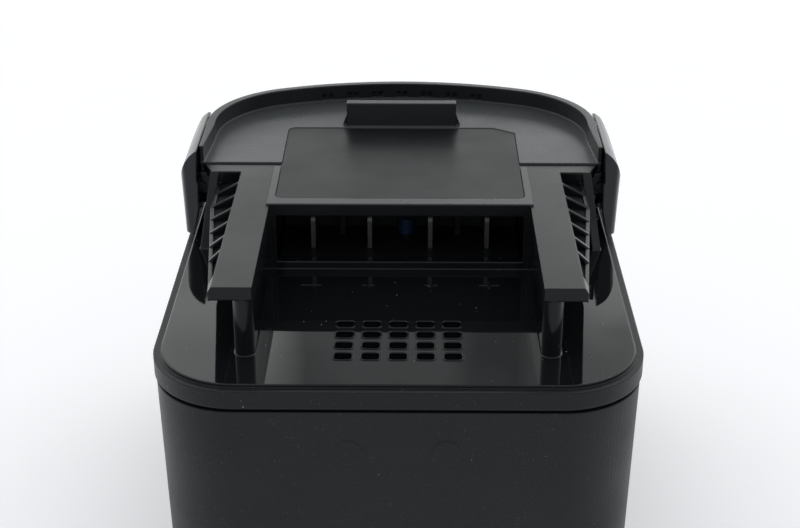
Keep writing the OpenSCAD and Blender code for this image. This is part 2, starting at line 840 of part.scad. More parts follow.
module wing_pin(side) {
    color("#a8abad") on_side(side) translate([pivot_x, front + ear_front, pivot_z])
        rotate([-90, 0, 0]) cylinder(r = pin_r, h = barrel_l + 2 * (ear_t + ear_gap));
}

// Wire of a coil spring along X: rings of six points round the helix, joined by triangles.
spring_rings = spring_turns * 8;
wire_sides = 6;
spring_pitch = (spring_x1 - spring_x0 - wire_d) / spring_turns;
function coil_point(i) = [spring_x0 + wire_d / 2 + spring_pitch * i / 8,
    spring_y + coil_r * cos(45 * i), spring_z + coil_r * sin(45 * i)];
function ring_point(i, k) =
    let (out = [0, cos(45 * i), sin(45 * i)], a = 360 * k / wire_sides)
    coil_point(i) + wire_d / 2 * (cos(a) * out + sin(a) * [1, 0, 0]);
spring_points = [for (i = [0 : spring_rings], k = [0 : wire_sides - 1]) ring_point(i, k)];
spring_sides = [for (i = [0 : spring_rings - 1], k = [0 : wire_sides - 1])
    let (a = i * wire_sides + k, b = i * wire_sides + (k + 1) % wire_sides)
    each [[a, b, a + wire_sides], [b, b + wire_sides, a + wire_sides]]];
spring_ends = [for (k = [1 : wire_sides - 2])
    let (last = spring_rings * wire_sides)
    each [[0, k + 1, k], [last, last + k, last + k + 1]]];
spring_gap = min([for (i = [0 : spring_rings], j = [0 : spring_rings])
    if (j - i > 4) norm(coil_point(j) - coil_point(i)) - wire_d]);
echo(spring_gap = spring_gap);

module wing_spring(side) {
    color("#b9bcbe") on_side(side) polyhedron(spring_points, concat(spring_sides, spring_ends));
}

module label_plate() {
    color("#232427") up(plate_top - label_sink, plate_top - label_sink + film_t) label_plan(film_clear);
}

module housing_screws() {
    color("#8d9092") at_screws() {
        translate([0, 0, screw_sink]) cylinder(r = screw_head_r, h = screw_head_h);
        translate([0, 0, screw_sink + screw_head_h - fuse])
            cylinder(r = screw_r, h = screw_tip - screw_sink - screw_head_h + fuse);
    }
}

// Outline of a blade seen from the side, with a rounded front corner, grown evenly for its slot.
module blade_outline(grow) {
    y0 = front + blade_front;
    top = deck_z + blade_h;
    translate([y0 - grow, board_z - tail_l]) square([blade_l + 2 * grow, top - blade_r - board_z + tail_l]);
    translate([y0 + blade_r, top - blade_r - fuse]) square([blade_l - blade_r + grow, blade_r + fuse]);
    translate([y0 + blade_r, top - blade_r]) circle(blade_r);
}

// One blade at a distance from the middle, grown evenly for its slot.
module blade(x, grow) {
    along_x(x - blade_t / 2 - grow, x + blade_t / 2 + grow) blade_outline(grow);
}

blade_places = [-blade_x_outer, -blade_x_inner, blade_x_inner, blade_x_outer];

module terminal(i) {
    color("#b5aa8c") blade(blade_places[i], 0);
}

module terminal_block() {
    y0 = front + block_front;
    y1 = front + block_rear;
    color("#17181a") difference() {
        union() {
            translate([-block_hw, y0, board_top]) cube([2 * block_hw, y1 - y0, deck_z + block_h - board_top]);
            translate([-block_hw, y1 - block_wall, board_top])
                cube([2 * block_hw, block_wall, deck_z + block_wall_h - board_top]);
            for (x = [-divider_x, divider_x])
                translate([x - divider_t / 2, y1 - block_wall - divider_l, deck_z])
                    cube([divider_t, divider_l + fuse, blade_h]);
        }
        for (x = blade_places)
            blade(x, blade_clear);
        translate([capacitor_x, capacitor_y, board_top - fuse])
            cylinder(d = capacitor_d + 2 * capacitor_clear, h = deck_z + block_h - board_top + 2 * fuse);
    }
}

module blue_capacitor() {
    color("#23407c") translate([capacitor_x, capacitor_y, board_top])
        cylinder(d = capacitor_d, h = deck_z + capacitor_h - board_top);
}

// Places of the board's screws and posts.
module at_board_screws() {
    for (sx = [-1, 1], sy = [-1, 1])
        translate([sx * (cell_l / 2 - holder_in - holder_t / 2), sy * (board_l / 2 - post_w / 2), 0])
            children();
}

module circuit_board() {
    color("#1f5a38") difference() {
        up(board_z, board_top) rounded_rect(board_w, board_l, board_r);
        for (x = blade_places)
            blade(x, blade_clear);
        at_board_screws() up(board_z - fuse, board_top + fuse) circle(board_screw_r + screw_clear);
    }
}

module power_transistors() {
    rear = board_l / 2 - transistor_rear;
    color("#1d1d1f") for (i = [-1.5 : 1.5])
        translate([i * transistor_pitch - transistor_w / 2, rear - transistor_l, board_top])
            cube([transistor_w, transistor_l, transistor_h]);
}

module board_screws() {
    color("#9a9da0") at_board_screws() {
        translate([0, 0, board_top]) cylinder(r = 2 * board_screw_r, h = board_screw_r);
        translate([0, 0, board_z - 2 * board_screw_r])
            cylinder(r = board_screw_r, h = board_t + 3 * board_screw_r);
    }
}

// Middle of a cell, counted along the lower layer and then the upper one.
function cell_y(i) = (i % row_cells - (row_cells - 1) / 2) * cell_pitch;
function cell_z(i) = i < row_cells ? lower_axis : upper_axis;

// Block with ten bores that grips the cells near one end and carries the board on posts.
module cell_holder(side) {
    x0 = cell_l / 2 - holder_in - holder_t;
    l = row_cells * cell_pitch - cell_gap + 2 * holder_rim;
    top = upper_axis + cell_d / 2 + holder_rim;
    color("#33363a") on_side(side) difference() {
        union() {
            translate([x0, -l / 2, base_wall]) cube([holder_t, l, top - base_wall]);
            for (s = [-1, 1])
                translate([x0 + (holder_t - post_w) / 2, s * (board_l - post_w) / 2 - post_w / 2, top - fuse])
                    cube([post_w, post_w, board_z - top + fuse]);
        }
        for (i = [0 : 2 * row_cells - 1])
            translate([0, cell_y(i), cell_z(i)]) rotate([0, 90, 0])
                cylinder(d = cell_d + 2 * cell_clear, h = cell_l);
        at_board_screws() translate([0, 0, board_z - 3 * board_screw_r])
            cylinder(r = board_screw_r + screw_clear / 2, h = 3 * board_screw_r + fuse);
    }
}

// Round cell along X with rolled rims.
module cell(i) {
    color("#3f7f86") translate([-cell_l / 2, cell_y(i), cell_z(i)]) rotate([0, 90, 0]) rotate_extrude()
        polygon([[0, 0], [cell_d / 2 - cell_rim, 0], [cell_d / 2, cell_rim], [cell_d / 2, cell_l - cell_rim],
            [cell_d / 2 - cell_rim, cell_l], [0, cell_l]]);
}

// First and last column of cells that each strip joins, and the side it lies on.
strips = [[0, 0, 1], [1, 2, 1], [3, 4, 1], [0, 1, -1], [2, 3, -1], [4, 4, -1]];

// Welded strip across the cell ends of both layers.
module nickel_strip(n) {
    y0 = cell_y(strips[n][0]) - strip_w / 2;
    y1 = cell_y(strips[n][1]) + strip_w / 2;
    z0 = lower_axis - strip_w / 2;
    z1 = upper_axis + strip_w / 2;
    color("#c4c6c2") on_side(strips[n][2]) along_x(cell_l / 2, cell_l / 2 + strip_t)
        translate([(y0 + y1) / 2, (z0 + z1) / 2]) rounded_rect(y1 - y0, z1 - z0, strip_r);
}

module insulating_sheet(side) {
    l = row_cells * cell_pitch - cell_d;
    h = upper_axis - lower_axis + cell_d - 2 * cell_rim;
    color("#d8d4c4") on_side(side) along_x(cell_l / 2 + strip_t, cell_l / 2 + strip_t + sheet_t)
        translate([0, (lower_axis + upper_axis) / 2]) rounded_rect(l, h, strip_r);
}

lower_housing();
upper_housing();
release_wing(-1);  // left_release_wing
release_wing(1);  // right_release_wing
wing_pin(-1);  // left_wing_pin
wing_pin(1);  // right_wing_pin
wing_spring(-1);  // left_wing_spring
wing_spring(1);  // right_wing_spring
label_plate();
housing_screws();
terminal_block();
terminal(0);  // positive_terminal
terminal(1);  // temperature_terminal
terminal(2);  // data_terminal
terminal(3);  // negative_terminal
circuit_board();
blue_capacitor();
power_transistors();
board_screws();
cell_holder(-1);  // left_cell_holder
cell_holder(1);  // right_cell_holder
for (i = [0 : 2 * row_cells - 1])
    cell(i);
for (n = [0 : len(strips) - 1])
    nickel_strip(n);
insulating_sheet(-1);  // left_insulating_sheet
insulating_sheet(1);  // right_insulating_sheet
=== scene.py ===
"""Battery pack of a power tool: the looks of its parts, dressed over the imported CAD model."""
import math

import bmesh
import bpy
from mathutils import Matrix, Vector

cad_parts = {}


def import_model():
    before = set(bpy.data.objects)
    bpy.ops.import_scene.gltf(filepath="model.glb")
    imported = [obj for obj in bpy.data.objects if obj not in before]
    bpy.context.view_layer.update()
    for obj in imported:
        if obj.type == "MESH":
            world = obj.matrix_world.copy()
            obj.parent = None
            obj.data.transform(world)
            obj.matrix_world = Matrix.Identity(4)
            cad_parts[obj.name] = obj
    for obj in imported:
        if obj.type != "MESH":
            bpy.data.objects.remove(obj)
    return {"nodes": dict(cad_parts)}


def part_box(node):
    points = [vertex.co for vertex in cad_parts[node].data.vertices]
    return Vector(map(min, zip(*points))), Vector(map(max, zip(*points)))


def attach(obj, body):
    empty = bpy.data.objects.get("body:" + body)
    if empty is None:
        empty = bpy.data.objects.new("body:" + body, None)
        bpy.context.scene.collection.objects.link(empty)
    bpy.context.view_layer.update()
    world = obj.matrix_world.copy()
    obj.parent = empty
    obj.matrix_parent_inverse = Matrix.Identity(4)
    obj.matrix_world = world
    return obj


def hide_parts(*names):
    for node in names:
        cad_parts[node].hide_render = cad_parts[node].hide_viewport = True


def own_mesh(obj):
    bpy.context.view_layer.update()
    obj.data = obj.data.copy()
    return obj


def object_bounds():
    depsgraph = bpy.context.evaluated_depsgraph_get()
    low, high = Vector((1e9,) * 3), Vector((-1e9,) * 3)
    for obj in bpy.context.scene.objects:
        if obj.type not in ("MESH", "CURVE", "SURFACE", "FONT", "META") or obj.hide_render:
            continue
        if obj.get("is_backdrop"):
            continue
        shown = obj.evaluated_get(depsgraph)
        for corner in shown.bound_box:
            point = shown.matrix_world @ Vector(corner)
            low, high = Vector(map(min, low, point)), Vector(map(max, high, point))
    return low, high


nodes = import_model()["nodes"]
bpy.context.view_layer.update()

# Cells
# Ten steel cans lie across the pack in two layers. Each is sleeved in thin shrunk film that
# leaves the nickel-plated ends bare.
CELLS = 10
CELL_SLEEVE = (0.012, 0.105, 0.155, 1)
CELL_END = (0.62, 0.61, 0.58, 1)
CELL_ROUGH = (0.28, 0.42)
CELL_WEAR = 300
CELL_WAVES = 500
CELL_DEPTH = 0.00004
SLEEVE_HALF = 0.0317
SLEEVE_STEP = 0.0002
SLEEVE_EDGE = (0.4, 0.6)
MIDDLE = (0.3, 0.7)


def new_finish(name):
    """A node material with its shader, and the coordinates that its patterns read."""
    material = bpy.data.materials.new(name)
    material.use_nodes = True
    tree = material.node_tree
    coords = tree.nodes.new("ShaderNodeTexCoord")
    return material, tree, tree.nodes["Principled BSDF"], coords.outputs["Object"]


def noise(tree, coords, scale, detail=3, rough=0.5):
    """Soft noise with about `scale` lumps to the metre."""
    node = tree.nodes.new("ShaderNodeTexNoise")
    node.inputs["Scale"].default_value = scale
    node.inputs["Detail"].default_value = detail
    node.inputs["Roughness"].default_value = rough
    tree.links.new(coords, node.inputs["Vector"])
    return node.outputs["Fac"]


def spread(tree, value, low, high, start=MIDDLE[0], end=MIDDLE[1]):
    """A value that runs from low to high while the source runs from start to end."""
    node = tree.nodes.new("ShaderNodeMapRange")
    for socket, number in (("From Min", start), ("From Max", end), ("To Min", low), ("To Max", high)):
        node.inputs[socket].default_value = number
    tree.links.new(value, node.inputs["Value"])
    return node.outputs["Result"]


def ramp(tree, value, *stops):
    """A colour that follows a value through (place, colour) stops."""
    node = tree.nodes.new("ShaderNodeValToRGB")
    points = node.color_ramp.elements
    while len(points) < len(stops):
        points.new(0.5)
    for point, (place, colour) in zip(points, stops):
        point.position = place
        point.color = colour
    tree.links.new(value, node.inputs["Fac"])
    return node.outputs["Color"]


def tones(tree, value, first, second, span=MIDDLE):
    """A colour that goes from one to another while a value crosses the span."""
    return ramp(tree, value, (span[0], first), (span[1], second))


def paint(tree, shader, colour, rough):
    """Joins a colour and a roughness to the shader."""
    tree.links.new(colour, shader.inputs["Base Color"])
    tree.links.new(rough, shader.inputs["Roughness"])


def relief(tree, shader, *layers, normal=None):
    """Bump layers on the shader, each a height with its depth in metres."""
    for height, depth in layers:
        node = tree.nodes.new("ShaderNodeBump")
        node.inputs["Strength"].default_value = 1
        node.inputs["Distance"].default_value = depth
        tree.links.new(height, node.inputs["Height"])
        if normal:
            tree.links.new(normal, node.inputs["Normal"])
        normal = node.outputs["Normal"]
    tree.links.new(normal, shader.inputs["Normal"])


def level(tree, coords, axis="Z"):
    """Place along one axis."""
    split = tree.nodes.new("ShaderNodeSeparateXYZ")
    tree.links.new(coords, split.inputs["Vector"])
    return split.outputs[axis]


def along(tree, coords, axis):
    """Distance from the middle plane across one axis."""
    node = tree.nodes.new("ShaderNodeMath")
    node.operation = "ABSOLUTE"
    tree.links.new(level(tree, coords, axis), node.inputs[0])
    return node.outputs["Value"]


def dress(material, *names):
    """Puts a material on CAD nodes that keep their own shape."""
    for name in names:
        mesh = nodes[name].data
        mesh.materials.clear()
        mesh.materials.append(material)


sleeve, tree, shader, coords = new_finish("cell_sleeve")
bare = spread(tree, along(tree, coords, "X"), 0, 1, SLEEVE_HALF, SLEEVE_HALF + SLEEVE_STEP)
paint(
    tree, shader, tones(tree, bare, CELL_SLEEVE, CELL_END, SLEEVE_EDGE),
    spread(tree, noise(tree, coords, CELL_WEAR), *CELL_ROUGH),
)
tree.links.new(bare, shader.inputs["Metallic"])
relief(tree, shader, (noise(tree, coords, CELL_WAVES), CELL_DEPTH))
dress(sleeve, *(f"cell_{i}" for i in range(1, CELLS + 1)))

# Nickel strips
# Thin pure nickel is punched to length and spot welded over the cell ends. It stays bright, with
# fine rolling lines along the strip.
STRIPS = 6
NICKEL = (0.60, 0.58, 0.53, 1)
NICKEL_DULL = (0.47, 0.46, 0.43, 1)
NICKEL_ROUGH = (0.22, 0.38)
NICKEL_WEAR = 160
ROLLED_WAY = (1, 0.05, 1)
ROLLED_LINES = 4000
ROLLED_DEPTH = 0.00001


def stretched(tree, coords, scale):
    """Coordinates drawn out along an axis, for rolled or brushed lines."""
    node = tree.nodes.new("ShaderNodeMapping")
    node.inputs["Scale"].default_value = scale
    tree.links.new(coords, node.inputs["Vector"])
    return node.outputs["Vector"]


nickel, tree, shader, coords = new_finish("rolled_nickel")
lines = noise(tree, stretched(tree, coords, ROLLED_WAY), ROLLED_LINES)
paint(
    tree, shader, tones(tree, lines, NICKEL_DULL, NICKEL),
    spread(tree, noise(tree, coords, NICKEL_WEAR), *NICKEL_ROUGH),
)
shader.inputs["Metallic"].default_value = 1
relief(tree, shader, (lines, ROLLED_DEPTH))
dress(nickel, *(f"nickel_strip_{i}" for i in range(1, STRIPS + 1)))

# Insulating sheets
# Stiff pressed paper covers the welded strips on both sides. Its face is flecked with fibres.
PAPER = (0.47, 0.50, 0.44, 1)
PAPER_FLECK = (0.33, 0.36, 0.31, 1)
PAPER_SPAN = (0.35, 0.6)
PAPER_ROUGH = (0.65, 0.8)
FIBRE_WAY = (1, 0.3, 1)
FIBRES = 2400
FIBRE_DETAIL = 5
FIBRE_DEPTH = 0.00004

paper, tree, shader, coords = new_finish("pressed_paper")
fibres = noise(tree, stretched(tree, coords, FIBRE_WAY), FIBRES, FIBRE_DETAIL)
paint(
    tree, shader, tones(tree, fibres, PAPER_FLECK, PAPER, PAPER_SPAN),
    spread(tree, fibres, *PAPER_ROUGH),
)
relief(tree, shader, (fibres, FIBRE_DEPTH))
dress(paper, "left_insulating_sheet", "right_insulating_sheet")

# Cell holders
# Two moulded blocks with ten bores grip the cells near their ends and carry the board on posts.
HOLDER = (0.020, 0.021, 0.022, 1)
HOLDER_PALE = (0.030, 0.031, 0.032, 1)


def moulding(
    name, tints, lumps, wear, rough, grain, depth, span=MIDDLE, detail=2, specular=0.5,
):
    """A plain plastic: two tints in lumps, roughness that wear varies, and a fine grain."""
    material, tree, shader, coords = new_finish(name)
    paint(
        tree, shader, tones(tree, noise(tree, coords, lumps), *tints, span),
        spread(tree, noise(tree, coords, wear), *rough),
    )
    shader.inputs["Specular IOR Level"].default_value = specular
    relief(tree, shader, (noise(tree, coords, grain, detail), depth))
    return material


holder = moulding(
    "holder_plastic", (HOLDER, HOLDER_PALE), lumps=900, wear=400, rough=(0.42, 0.56),
    grain=3200, depth=0.00002,
)
dress(holder, "left_cell_holder", "right_cell_holder")

# Circuit board, its power transistors and screws
# Glass-fibre board under green lacquer lies on the holders' posts. The transistors are moulded
# black epoxy, and small steel screws hold the board down. The housing's long screws match them.
LACQUER = (0.010, 0.075, 0.030, 1)
LACQUER_TRACE = (0.020, 0.125, 0.050, 1)
LACQUER_WEAR = 700
LACQUER_ROUGH = (0.25, 0.38)
TRACES = 260
TRACE_EDGE = (0.48, 0.52)
TRACE_DEPTH = 0.00005
EPOXY = (0.012, 0.012, 0.013, 1)
EPOXY_PALE = (0.028, 0.028, 0.029, 1)
STEEL = (0.50, 0.50, 0.51, 1)
STEEL_DULL = (0.36, 0.36, 0.37, 1)


def drawn_metal(name, tints, lines, rough, depth, way=(1, 1, 1), metallic=1):
    """A metal with lines from turning, drawing or wiping, drawn out along one way."""
    material, tree, shader, coords = new_finish(name)
    marks = noise(tree, stretched(tree, coords, way), lines)
    paint(tree, shader, tones(tree, marks, *tints), spread(tree, marks, *rough))
    shader.inputs["Metallic"].default_value = metallic
    relief(tree, shader, (marks, depth))
    return material


lacquer, tree, shader, coords = new_finish("board_lacquer")
traces = tree.nodes.new("ShaderNodeTexVoronoi")
traces.distance = "CHEBYCHEV"
traces.feature = "F2"
traces.inputs["Scale"].default_value = TRACES
tree.links.new(coords, traces.inputs["Vector"])
paint(
    tree, shader, tones(tree, traces.outputs["Distance"], LACQUER, LACQUER_TRACE, TRACE_EDGE),
    spread(tree, noise(tree, coords, LACQUER_WEAR), *LACQUER_ROUGH),
)
relief(tree, shader, (traces.outputs["Distance"], TRACE_DEPTH))
dress(lacquer, "circuit_board")

epoxy = moulding(
    "moulded_epoxy", (EPOXY, EPOXY_PALE), lumps=5000, wear=900, rough=(0.45, 0.6),
    grain=6000, depth=0.00001, span=(0.35, 0.65),
)
dress(epoxy, "power_transistors")

steel = drawn_metal(
    "turned_steel", (STEEL_DULL, STEEL), lines=3500, rough=(0.24, 0.4), depth=0.000006, way=(1, 1, 0.1)
)
dress(steel, "board_screws", "housing_screws")

# Terminal block, its blades and the blue capacitor
# A glass-filled block stands on the board in the tower. Four tinned blades slot into it, and the
# blue sleeve of a capacitor shows between them.
BLOCK = (0.005, 0.005, 0.006, 1)
BLOCK_PALE = (0.009, 0.009, 0.010, 1)
TIN = (0.19, 0.187, 0.178, 1)
TIN_DULL = (0.07, 0.069, 0.065, 1)
BLUE_SLEEVE = (0.006, 0.016, 0.044, 1)
BLUE_SLEEVE_PALE = (0.009, 0.022, 0.058, 1)

block = moulding(
    "filled_nylon", (BLOCK, BLOCK_PALE), lumps=1600, wear=600, rough=(0.38, 0.55),
    grain=4200, depth=0.00001, specular=0.25,
)
dress(block, "terminal_block")

tin = drawn_metal(
    "tinned_brass", (TIN_DULL, TIN), lines=3600, rough=(0.36, 0.52), depth=0.00003, way=(1, 0.3, 1)
)
dress(tin, "positive_terminal", "negative_terminal", "temperature_terminal", "data_terminal")

blue = moulding(
    "capacitor_sleeve", (BLUE_SLEEVE, BLUE_SLEEVE_PALE), lumps=500, wear=700, rough=(0.25, 0.36),
    grain=900, depth=0.00002, detail=3,
)
dress(blue, "blue_capacitor")

# Lower housing
# The tub is moulded in charcoal plastic from a spark-textured tool, so its walls are matte and
# finely grained; pale specks in its colour are painted glints of light on that texture. Its edges
# are lightly rounded, and pale dust has settled in the grain.
CHARCOAL = (0.0050, 0.0056, 0.0066, 1)
CHARCOAL_PALE = (0.0092, 0.0101, 0.0116, 1)
CHARCOAL_WEAR = 90
CHARCOAL_ROUGH = (0.42, 0.52)
CHARCOAL_SPECULAR = 0.36
GRAIN = 3000
GRAIN_DETAIL = 2
GRAIN_SPAN = (0.35, 0.68)
GRAIN_DEPTH = 0.00005
# Painted glints: pale specks in the colour stand in for light caught by the texture.
PAINTED_GLINT = (0.050, 0.053, 0.056, 1)
TUB_PAINTED_GLINTS = {"scale": 1900, "size": 0.2, "sparse": 0.46}
DUST = (0.30, 0.30, 0.29, 1)
TUB_DUST = {"scale": 900, "size": 0.11, "sparse": 0.55}
FLECK_PATCH = 0.31
FLECK_FADE = 0.25
EDGE_SOFT = 0.00042
EDGE_SAMPLES = 8


def soft_edges(tree, radius):
    """Normals that turn round an edge as on a moulding with that radius."""
    node = tree.nodes.new("ShaderNodeBevel")
    node.samples = EDGE_SAMPLES
    node.inputs["Radius"].default_value = radius
    return node.outputs["Normal"]


def combine(tree, operation, first, second):
    """Two values put together by one sum."""
    node = tree.nodes.new("ShaderNodeMath")
    node.operation = operation
    for socket, value in zip(node.inputs, (first, second)):
        if isinstance(value, (int, float)):
            socket.default_value = value
        else:
            tree.links.new(value, socket)
    return node.outputs["Value"]


def blended(tree, share, first, second):
    """A colour between two others, which may be sockets or plain colours."""
    node = tree.nodes.new("ShaderNodeMix")
    node.data_type = "RGBA"
    tree.links.new(share, node.inputs["Factor"])
    sockets = [socket for socket in node.inputs if socket.type == "RGBA"]
    for socket, colour in zip(sockets, (first, second)):
        if isinstance(colour, tuple):
            socket.default_value = colour
        else:
            tree.links.new(colour, socket)
    return next(socket for socket in node.outputs if socket.type == "RGBA")


def flecks(tree, coords, scale, size, sparse):
    """Rare small round specks: one where a speck lies and none elsewhere."""
    cells = tree.nodes.new("ShaderNodeTexVoronoi")
    cells.inputs["Scale"].default_value = scale
    tree.links.new(coords, cells.inputs["Vector"])
    patches = noise(tree, coords, scale * FLECK_PATCH, 1)
    reach = spread(tree, patches, 0, size, sparse, sparse + FLECK_FADE)
    return combine(tree, "LESS_THAN", cells.outputs["Distance"], reach)


charcoal, tree, shader, coords = new_finish("textured_plastic")
grain = noise(tree, coords, GRAIN, GRAIN_DETAIL)
tone = tones(tree, grain, CHARCOAL, CHARCOAL_PALE, GRAIN_SPAN)
# Painted glints: pale specks on the tub stand in for light caught by its grain.
tone = blended(tree, flecks(tree, coords, **TUB_PAINTED_GLINTS), tone, PAINTED_GLINT)
tone = blended(tree, flecks(tree, coords, **TUB_DUST), tone, DUST)
paint(tree, shader, tone, spread(tree, noise(tree, coords, CHARCOAL_WEAR), *CHARCOAL_ROUGH))
shader.inputs["Specular IOR Level"].default_value = CHARCOAL_SPECULAR
relief(tree, shader, (grain, GRAIN_DEPTH), normal=soft_edges(tree, EDGE_SOFT))
dress(charcoal, "lower_housing")

# Upper housing
# One moulding in black: its skirt is grained like the tub, its deck comes from a polished part of
# the tool, and the rails are satin. The tower's roof and the rear plate are painted paler, and the
# lip a little paler, as a painted sheen for the light they reflect.
GLOSS = (0.0062, 0.0066, 0.0075, 1)
GLOSS_SPECULAR = 0.32
# Painted sheen: paler colours on the roof and plate, and on the lip, stand in for reflected light.
PLATE_PAINTED_SHEEN = (0.052, 0.054, 0.0545, 1)
LIP_PAINTED_SHEEN = (0.014, 0.0146, 0.0155, 1)
PAINTED_SHEEN_SPAN = (0.0660, 0.0680)
PAINTED_SHEEN_STOPS = ((0.34, GLOSS), (0.38, PLATE_PAINTED_SHEEN), (0.58, PLATE_PAINTED_SHEEN), (0.62, LIP_PAINTED_SHEEN))
SKIRT_TOP = 0.0535
SKIRT_STEP = 0.0001
SKIRT_ROUGH = 0.42
SKIRT_PAINTED_GLINTS = {"scale": 1900, "size": 0.2, "sparse": 0.44}
DECK_TOP = 0.0570
DECK_DUST = {"scale": 800, "size": 0.09, "sparse": 0.47}
DUST_FADE = 0.2
SATIN_FROM = 0.0640
SATIN_PATCHES = 60
SATIN_SPAN = (0.36, 0.64)
SATIN_ROUGH = (0.22, 0.32)
SMUDGES = 45
SMUDGE_SPAN = (0.42, 0.72)
SMUDGE_ROUGH = (0.012, 0.06)
PATCHY = {"detail": 4, "rough": 0.6}
SINK = 70
SINK_DEPTH = 0.00004

gloss, tree, shader, coords = new_finish("polished_black")
height = level(tree, coords)
skirt = spread(tree, height, 1, 0, SKIRT_TOP, SKIRT_TOP + SKIRT_STEP)
satin = spread(tree, height, 0, 1, DECK_TOP, SATIN_FROM)
grain = noise(tree, coords, GRAIN, GRAIN_DETAIL)
# Painted sheen by height: the roof and plate, then the lip, are painted paler for reflected light.
painted_sheen = ramp(tree, spread(tree, height, 0, 1, *PAINTED_SHEEN_SPAN), *PAINTED_SHEEN_STOPS)
tone = blended(tree, skirt, painted_sheen, tones(tree, grain, CHARCOAL, CHARCOAL_PALE, GRAIN_SPAN))
# Painted glints: pale specks on the skirt stand in for light caught by its grain.
painted_glints = combine(tree, "MULTIPLY", flecks(tree, coords, **SKIRT_PAINTED_GLINTS), skirt)
tone = blended(tree, painted_glints, tone, PAINTED_GLINT)
below_satin = spread(tree, satin, 1, 0, 0, DUST_FADE)
settled = combine(tree, "MULTIPLY", flecks(tree, coords, **DECK_DUST), below_satin)
tone = blended(tree, settled, tone, DUST)
smudge = spread(tree, noise(tree, coords, SMUDGES, **PATCHY), *SMUDGE_ROUGH, *SMUDGE_SPAN)
worn_satin = spread(tree, noise(tree, coords, SATIN_PATCHES, **PATCHY), *SATIN_ROUGH, *SATIN_SPAN)
rough = combine(tree, "ADD", smudge, combine(tree, "MULTIPLY", skirt, SKIRT_ROUGH))
rough = combine(tree, "ADD", rough, combine(tree, "MULTIPLY", satin, worn_satin))
paint(tree, shader, tone, rough)
shader.inputs["Specular IOR Level"].default_value = GLOSS_SPECULAR
relief(
    tree, shader, (noise(tree, coords, SINK, 1), SINK_DEPTH),
    (combine(tree, "MULTIPLY", grain, skirt), GRAIN_DEPTH), normal=soft_edges(tree, EDGE_SOFT),
)
dress(gloss, "upper_housing")

# Rail shade sheets
# A thin dark matte sheet with a rough finish closes the pockets of each rail from below. It is
# painted shade: a dark sheet put where there is only shade, so the deck reflects no rungs there.
WEB_THICK = 0.0003
WEB_INNER = 0.0296
WEB_FRONT = 0.0301
WEB_EDGE_IN = 0.0060
WEB_BASE = 0.0643
WEB_FALL = 0.0007
WEB_FULL = -0.0050
WEB_ENDS = (-0.0370, 0.0066)
RAIL_START = -0.0410
RIM_HALF = 0.00035
WEB_WEAR = 300
WEB_ROUGH = (0.6, 0.75)
WEB_SPECULAR = 0.12


def solid(name, points, faces, material):
    """A mesh object in the scene, in one material."""
    mesh = bpy.data.meshes.new(name)
    mesh.from_pydata(points, [], faces)
    mesh.materials.append(material)
    made = bpy.data.objects.new(name, mesh)
    bpy.context.scene.collection.objects.link(made)
    return made


# Painted shade: a dark, dull finish for the sheet under the rails.
shade_sheet_black, tree, shader, coords = new_finish("shade_sheet_black")
paint(
    tree, shader, tones(tree, noise(tree, coords, GRAIN, GRAIN_DETAIL), GLOSS, CHARCOAL, GRAIN_SPAN),
    spread(tree, noise(tree, coords, WEB_WEAR), *WEB_ROUGH),
)
shader.inputs["Specular IOR Level"].default_value = WEB_SPECULAR
half_body = max(abs(corner[0]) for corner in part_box("upper_housing"))
widest = half_body - WEB_EDGE_IN
points, faces = [], []
for side in (-1, 1):
    base = len(points)
    for y in (WEB_ENDS[0], WEB_FULL, WEB_ENDS[1]):
        share = min(1, (y - RAIL_START) / (WEB_FULL - RAIL_START))
        edge = WEB_FRONT + (widest - WEB_FRONT) * share - RIM_HALF
        fall = WEB_FALL * (edge - WEB_INNER) / (widest - WEB_INNER)
        for x, z in ((WEB_INNER, WEB_BASE), (edge, WEB_BASE - fall)):
            points += [(side * x, y, z), (side * x, y, z + WEB_THICK)]
    for k in (base, base + 4):
        faces += [(k, k + 2, k + 6, k + 4), (k + 1, k + 5, k + 7, k + 3)]
        faces += [(k, k + 4, k + 5, k + 1), (k + 2, k + 3, k + 7, k + 6)]
    faces += [(base, base + 1, base + 3, base + 2), (base + 8, base + 10, base + 11, base + 9)]
shade_sheets = solid("rail_shade_sheets", points, faces, shade_sheet_black)
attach(shade_sheets, "pack")

# Vent beads and deck marks
# Each vent has a fine rounded bead round its edge. Raised bars on the deck mark the poles of the
# blades behind them.
DECK = 0.0541
VENTS = (5, 4)
VENT_PITCH = (0.00445, 0.00362)
VENT_SIZE = (0.0031, 0.0024)
VENT_CORNER = 0.0006
VENT_MIDDLE = -0.03527
BEAD = 0.00016
CORNER_STEPS = 4
ROUND_SIDES = 10
MARK_RISE = 0.00008
MARK_Y = -0.0152
MARK_BARS = (
    (-0.0156, 0.0038, 0.0004), (-0.0062, 0.0010, 0.0004), (-0.0048, 0.0010, 0.0004),
    (0.0049, 0.0010, 0.0004), (0.0063, 0.0010, 0.0004), (0.0158, 0.0038, 0.0004),
    (0.0158, 0.0004, 0.0026),
)


def node_tree(name, *sizes):
    """A geometry tree with named inputs, each a (name, kind) pair, and its entry node."""
    group = bpy.data.node_groups.new(name, "GeometryNodeTree")
    group.interface.new_socket("Geometry", in_out="OUTPUT", socket_type="NodeSocketGeometry")
    for size, kind in sizes:
        group.interface.new_socket(size, in_out="INPUT", socket_type="NodeSocket" + kind)
    return group, group.nodes.new("NodeGroupInput")


def chain(group, *steps):
    """Joins the first output of each node to the named input of the next."""
    for source, node, socket in steps:
        group.links.new(source.outputs[0], node.inputs[socket])


def baked(made):
    """Turns what an object's modifiers make into its plain mesh."""
    bpy.context.view_layer.update()
    finished = made.evaluated_get(bpy.context.evaluated_depsgraph_get())
    mesh = bpy.data.meshes.new_from_object(finished)
    made.modifiers.clear()
    made.data = mesh


